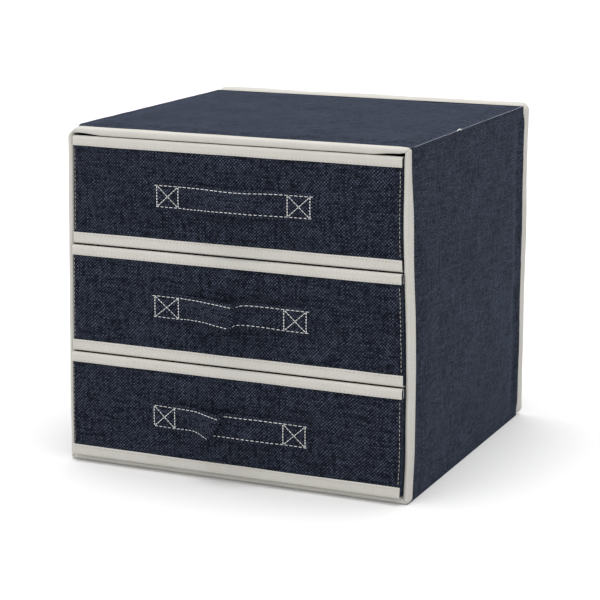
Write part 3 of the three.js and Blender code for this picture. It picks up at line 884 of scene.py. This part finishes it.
def spline(points, count):
    """That many points along a smooth curve through the given ones, evenly spaced by their first two columns."""
    points = np.array(points, float)
    padded = np.concatenate([[2 * points[0] - points[1]], points, [2 * points[-1] - points[-2]]])
    t = np.linspace(0, 1, 16, endpoint=False)[:, None]
    found = []
    for p0, p1, p2, p3 in zip(padded, padded[1:], padded[2:], padded[3:]):
        square, cube = 2 * p0 - 5 * p1 + 4 * p2 - p3, 3 * p1 - p0 - 3 * p2 + p3
        found.append(0.5 * (2 * p1 + (p2 - p0) * t + square * t**2 + cube * t**3))
    dense = np.concatenate([*found, points[-1:]])
    at = arc_length(dense[:, :2])
    even = np.linspace(0, at[-1], count)
    return np.stack([np.interp(even, at, dense[:, k]) for k in range(points.shape[1])], 1)


def strap_section(half):
    """Height across the strap and distance off its middle layer, round its quilted section."""
    across = np.array([-0.965, -0.87, -0.74, -0.62, -0.35, 0.0, 0.35, 0.62, 0.74, 0.87, 0.965]) * half
    face = np.array([0.6, 0.85, 0.52, 0.8, 0.93, 0.97, 0.93, 0.8, 0.52, 0.85, 0.6])
    front = np.stack([across, face], 1)
    behind = np.stack([across[::-1], -0.9 * face[::-1]], 1)
    tips = np.array([[half, 0.0]]), np.array([[-half, 0.0]])
    return np.concatenate([front, tips[0], behind, tips[1]])


def handle(drawer, seed):
    """The strap, its two long rows of stitching and the boxed crosses at its ends."""
    low, high = box_of(drawer + "_handle")
    front = box_of(drawer + "_front_cover")[0][1]
    middle, tall = (low[2] + high[2]) / 2, high[2] - low[2]
    line = spline([(low[0], 0, 0, 0, 0), *STRAPS[drawer], (high[0], 0, 0, 0, 0)], 240)
    x_line, off_line, lean, slant, sag = line.T
    s = arc_length(line[:, :2])
    tangent = np.gradient(line[:, :2], axis=0)
    tangent /= np.linalg.norm(tangent, axis=1, keepdims=True)
    out = np.stack([-tangent[:, 1], tangent[:, 0]], 1)  # points away from the drawer front
    section = strap_section(tall / 2)
    row = 0.74 * tall / 2  # the long seams lie this far above and below the middle
    free = eased(off_line / 5)

    def surface(h, t):
        """Points at height h and distance t off the middle layer, along the whole strap."""
        k = h / row
        x = x_line + out[:, 0] * t + slant * k
        off = off_line + out[:, 1] * t - lean * k + 0.2 * ripple(s, s * 0 + h, 26, seed) * free
        drop = sag * (1 - 0.4 * k) + TILT[drawer] * (x - (low[0] + high[0]) / 2)
        return np.stack([x, front - 1.1 - off, middle + h * np.sqrt(1 - (lean / row) ** 2) - drop], 1)

    rings = np.stack([surface(h, t) for h, t in section], 1)
    shrink = eased(np.minimum(s, s[-1] - s) / 0.8 + 0.25)
    centre = rings.mean(1, keepdims=True)
    taper = np.where(np.arange(3) == 1, shrink[:, None, None], 1.0)
    rings = centre + (rings - centre) * taper
    v = girth(section)
    sewing = Sewing()
    sewing.tube(rings, s, v)
    strap = sewing.piece(drawer + "_strap", drawer, NAVY, [drawer + "_handle"])

    def on_face(where, h):
        """A run of points on the strap's front face, at distances along it and heights across it."""
        where, h = np.broadcast_arrays(np.asarray(where, float), np.asarray(h, float))
        t = np.interp(h, section[:11, 0], section[:11, 1]) + 0.05
        fields = [surface(hh, tt) for hh, tt in zip(h, t)]
        at = [[np.interp(w, s, f[:, k]) for k in range(3)] for w, f in zip(where, fields)]
        side = [[np.interp(w, s, out[:, 0]), -np.interp(w, s, out[:, 1]), 0] for w in where]
        return np.array(at), np.array(side)

    for edge, length, gap in ((row, 3.6, 0.7), (-row, 3.1, 1.0)):
        seam = [on_face(np.linspace(0.6, s[-1] - 0.6, 200), np.full(200, edge))]
        which = "upper" if edge > 0 else "lower"
        stitches(f"{drawer}_strap_{which}_row", drawer, seam, 0.25, THREAD, length, gap)
    for name, part in (("left", s < 30), ("right", s > s[-1] - 30)):
        box_low, box_high = box_of(f"{drawer}_stitch_{name}")
        moved = BOX_MOVED.get(f"{drawer}_{name}", (0.0, 0.0))
        a, b = np.interp([box_low[0] + moved[0], box_high[0] + moved[1]], x_line[part], s[part])
        few = lambda p, q: np.linspace(p, q, 14)
        uprights = [on_face(few(a, a), few(-row, row)), on_face(few(b, b), few(-row, row))]
        crossed = [on_face(few(a, b), few(-row, row)), on_face(few(a, b), few(row, -row))]
        piece = stitches(f"{drawer}_box_stitch_{name}", drawer, uprights, 0.38, THREAD, 1.9, 0.5, 0.3)
        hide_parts(f"{drawer}_stitch_{name}")
        stitches(f"{drawer}_cross_stitch_{name}", drawer, crossed, 0.27, THREAD, 2.8, 0.25, 0.3)


def drawer_body(drawer, seed):
    """The cloth of the sides, back and bottom, hemmed over the tops of the boards."""
    low, high = box_of(drawer + "_body_cover")
    half, front, back = high[0], low[1], high[1]
    top = high[2]

    def plan(inset):
        corners = [(half - inset, front + 0.6), (half - inset, back - inset), (inset - half, back - inset),
                   (inset - half, front + 0.6)]
        return filleted(corners, max(1.0, 3.0 - inset * 0.5), 22, 6)

    hem = 4.6  # wall thickness from the outer cloth to the hem's inner face
    profile = [(0.0, z) for z in stations(low[2] + 0.2, top - 1.8, 8.0)]
    profile += bend((1.8, top - 1.8), (-1.8, 0), (0, 1.8), (25, 50, 75, 90))
    profile += bend((hem - 1.5, top - 1.5), (0, 1.5), (1.5, 0), (0, 30, 60, 90))
    profile += [(hem, top - d) for d in (4.0, 8.0, 12.0)]
    columns = []
    for inset, z in profile:
        p = plan(inset)
        columns.append(np.stack([p[:, 0], p[:, 1], np.full(len(p), z)], 1))
    outer = np.stack(columns, 1)
    base = plan(0.0)
    a = arc_length(base)
    slack = np.array([0.35 if inset == 0 else 0.0 for inset, _ in profile])[None, :]
    wave = slack * ripple(outer[..., 0] + outer[..., 1], outer[..., 2], 60, seed) * 0.5
    toward = -outer[..., :2] / np.maximum(np.abs(outer[..., :2]).max(-1, keepdims=True), 1)
    outer[..., :2] += toward * np.abs(wave)[..., None] * 0.5
    sewing = Sewing()
    normal = sewing.sheet(outer, CLOTH, a, arc_length(np.array(profile)))
    x = stations(-half + 0.2, half - 0.2, 12.0)
    y = stations(box_of(drawer + "_sill_tape")[1][1] + 0.1, back - 0.2, 12.0)
    gx, gy = np.meshgrid(-x, y, indexing="ij")
    sewing.sheet(np.stack([gx, gy, np.full_like(gx, low[2])], -1), CLOTH, -x, y)
    piece = sewing.piece(drawer + "_body_cloth", drawer, NAVY, [drawer + "_body_cover"])
    hem_at = len(profile) - 2
    rows = [(outer[:, hem_at], normal[:, hem_at])]
    stitches(drawer + "_hem_stitches", drawer, rows, 0.28, THREAD, 2.8, 0.9)
    return piece


def drawer_lining(drawer, seed):
    """A bag of lining cloth inside the boards."""
    low, high = box_of(drawer + "_lining")
    half, front, back = high[0] - LINING, low[1] + LINING, high[1] - LINING
    floor = low[2] + LINING
    top = box_of(drawer + "_left_board")[1][2]
    corners = [(half, back), (half, front), (-half, front), (-half, back)]
    plan = filleted(corners, 2.5, 22, 5, closed=True)
    z = stations(floor, top, 8.0)
    gx, gy, gz = walled(plan, z)
    outer = np.stack([gx, gy, gz], -1)
    toward = -outer[..., :2] / np.maximum(np.abs(outer[..., :2]).max(-1, keepdims=True), 1)
    calm = between(gz, floor, top - 8, 12)
    outer[..., :2] += toward * (calm * (0.35 + 0.25 * ripple(gx + gy, gz, 45, seed)))[..., None]
    a = girth(plan)
    sewing = Sewing()
    sewing.sheet(outer, LINING_SHEET, a, z, wrap=True)
    x = stations(-half, half, 9.0)
    y = stations(front, back, 9.0)
    bx, by = np.meshgrid(x, y, indexing="ij")
    calm = between(bx, -half, half, 15) * between(by, front, back, 15)
    lift = calm * (0.5 + 0.3 * ripple(bx, by, 60, seed + 3))
    sewing.sheet(np.stack([bx, by, floor + lift], -1), LINING_SHEET, x, y)
    piece = sewing.piece(drawer + "_lining_cloth", drawer, LINING_CLOTH, [drawer + "_lining"])
    return piece


def board_slab(node, body):
    """A stiffener beside the slack: a slab that leans with its wall and is cut off at the same corner."""
    low, high = box_of(node)
    thin = int(np.argmin(high - low))
    first, second = (thin + 1) % 3, (thin + 2) % 3
    a, b = stations(low[first], high[first], 15.0), stations(low[second], high[second], 15.0)
    outward = high[thin] > -low[thin]
    a = a if outward else a[::-1]
    outer = np.zeros((len(a), len(b), 3))
    outer[..., first], outer[..., second] = np.meshgrid(a, b, indexing="ij")
    outer[..., thin] = high[thin] if outward else low[thin]
    if body == "case":
        corner = BINDING_HIGH[0] + outer[..., 0] + BINDING_HIGH[2] - outer[..., 2]
        outer[..., 1] += 9 * hump(corner, 14) * (1 - eased((outer[..., 1] - low[1]) / 40))
        cut_back(outer, 1.8)
    sewing = Sewing()
    sewing.sheet(outer, high[thin] - low[thin], a, b)
    sewing.piece(node + "_slab", body, BOARD, [node])


# ---------------------------------------------------------------- making the pieces
case_cloth()
front_binding()
back_binding()
top_seam_threads()
case_lining()
for shelf in ("lower_shelf", "upper_shelf"):
    shelf_sleeve(shelf)
for number, drawer in enumerate(DRAWERS):
    seed = 100 * (number + 1)
    front_cover(drawer, seed)
    tape_strip(drawer, "rim_tape", rim_profile, lambda low, high: (low[2] + 1.6, low[2]), seed + 10)
    tape_strip(drawer, "sill_tape", sill_profile, lambda low, high: (high[2] - 1.6, high[2]), seed + 20)
    handle(drawer, seed + 30)
    drawer_body(drawer, seed + 40)
    drawer_lining(drawer, seed + 50)
    for side in ("left", "right"):
        board_slab(f"{drawer}_{side}_board", drawer)
for side in ("left", "right", "top"):
    board_slab(f"board_{side}", "case")

for node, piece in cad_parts.items():
    if "board" in node:
        piece.data.materials.clear()
        piece.data.materials.append(BOARD[0])


# ---------------------------------------------------------------- stage, light and camera
def stage():
    floor_mesh = bpy.data.meshes.new("floor")
    reach = 12.0
    drop = -2e-4  # just under the chest
    corners = [(x * reach, y * reach, drop) for x, y in ((-1, -1), (1, -1), (1, 1), (-1, 1))]
    floor_mesh.from_pydata(corners, [], [(0, 1, 2, 3)])
    graph = Graph("studio_floor")
    grain = graph.noise(graph.object_map(), 3.0, 2.0)
    greys = (0.70, 0.70, 0.70, 1), (0.72, 0.72, 0.72, 1)
    graph.plug(graph.shader.inputs["Base Color"], graph.mix(grain, *greys))
    graph.shader.inputs["Roughness"].default_value = 0.9
    graph.shader.inputs["Specular IOR Level"].default_value = 0.0
    floor_mesh.materials.append(graph.material)
    floor = bpy.data.objects.new("floor", floor_mesh)
    bpy.context.scene.collection.objects.link(floor)

    world = bpy.data.worlds.new("studio")
    world.use_nodes = True
    world.node_tree.nodes["Background"].inputs["Color"].default_value = (1.0, 1.0, 1.0, 1)
    world.node_tree.nodes["Background"].inputs["Strength"].default_value = 1.0
    bpy.context.scene.world = world


def soft_sun(name, strength, spread):
    """Even light from straight above, out of a disc that many degrees wide."""
    light = bpy.data.lights.new(name, "SUN")
    light.energy = strength
    light.angle = math.radians(spread)
    bpy.context.scene.collection.objects.link(bpy.data.objects.new(name, light))


def softbox(name, place, target, size, power):
    light = bpy.data.lights.new(name, "AREA")
    light.shape = "SQUARE"
    light.size = size
    light.energy = power
    lamp = bpy.data.objects.new(name, light)
    lamp.location = place
    lamp.rotation_euler = (Vector(target) - Vector(place)).to_track_quat("-Z", "Y").to_euler()
    bpy.context.scene.collection.objects.link(lamp)


def camera():
    """Seen from the front right, a little above the chest."""
    azimuth, elevation = math.radians(24.15), math.radians(12.80)
    distance, right_by, up_by = 1747, -3.7, -18.5
    level = math.cos(elevation)
    back = Vector((math.sin(azimuth) * level, -math.cos(azimuth) * level, math.sin(elevation)))
    right = Vector((math.cos(azimuth), math.sin(azimuth), 0))
    up = right.cross(-back)
    data = bpy.data.cameras.new("camera")
    data.lens = 120.5
    data.sensor_width = 36
    eye = bpy.data.objects.new("camera", data)
    middle = Vector((0, 0, BINDING_HIGH[2] / 2))
    eye.location = (middle + back * distance + right * right_by + up * up_by) * MM
    eye.rotation_mode = "QUATERNION"
    eye.rotation_quaternion = (-back).to_track_quat("-Z", "Y")
    bpy.context.scene.collection.objects.link(eye)
    bpy.context.scene.camera = eye


stage()
soft_sun("overhead", 2.2, 50)
softbox("front_fill", (-1.1, -2.6, 0.9), (0, 0, 0.14), 1.6, 13)
camera()
bpy.context.scene.view_settings.view_transform = "Standard"
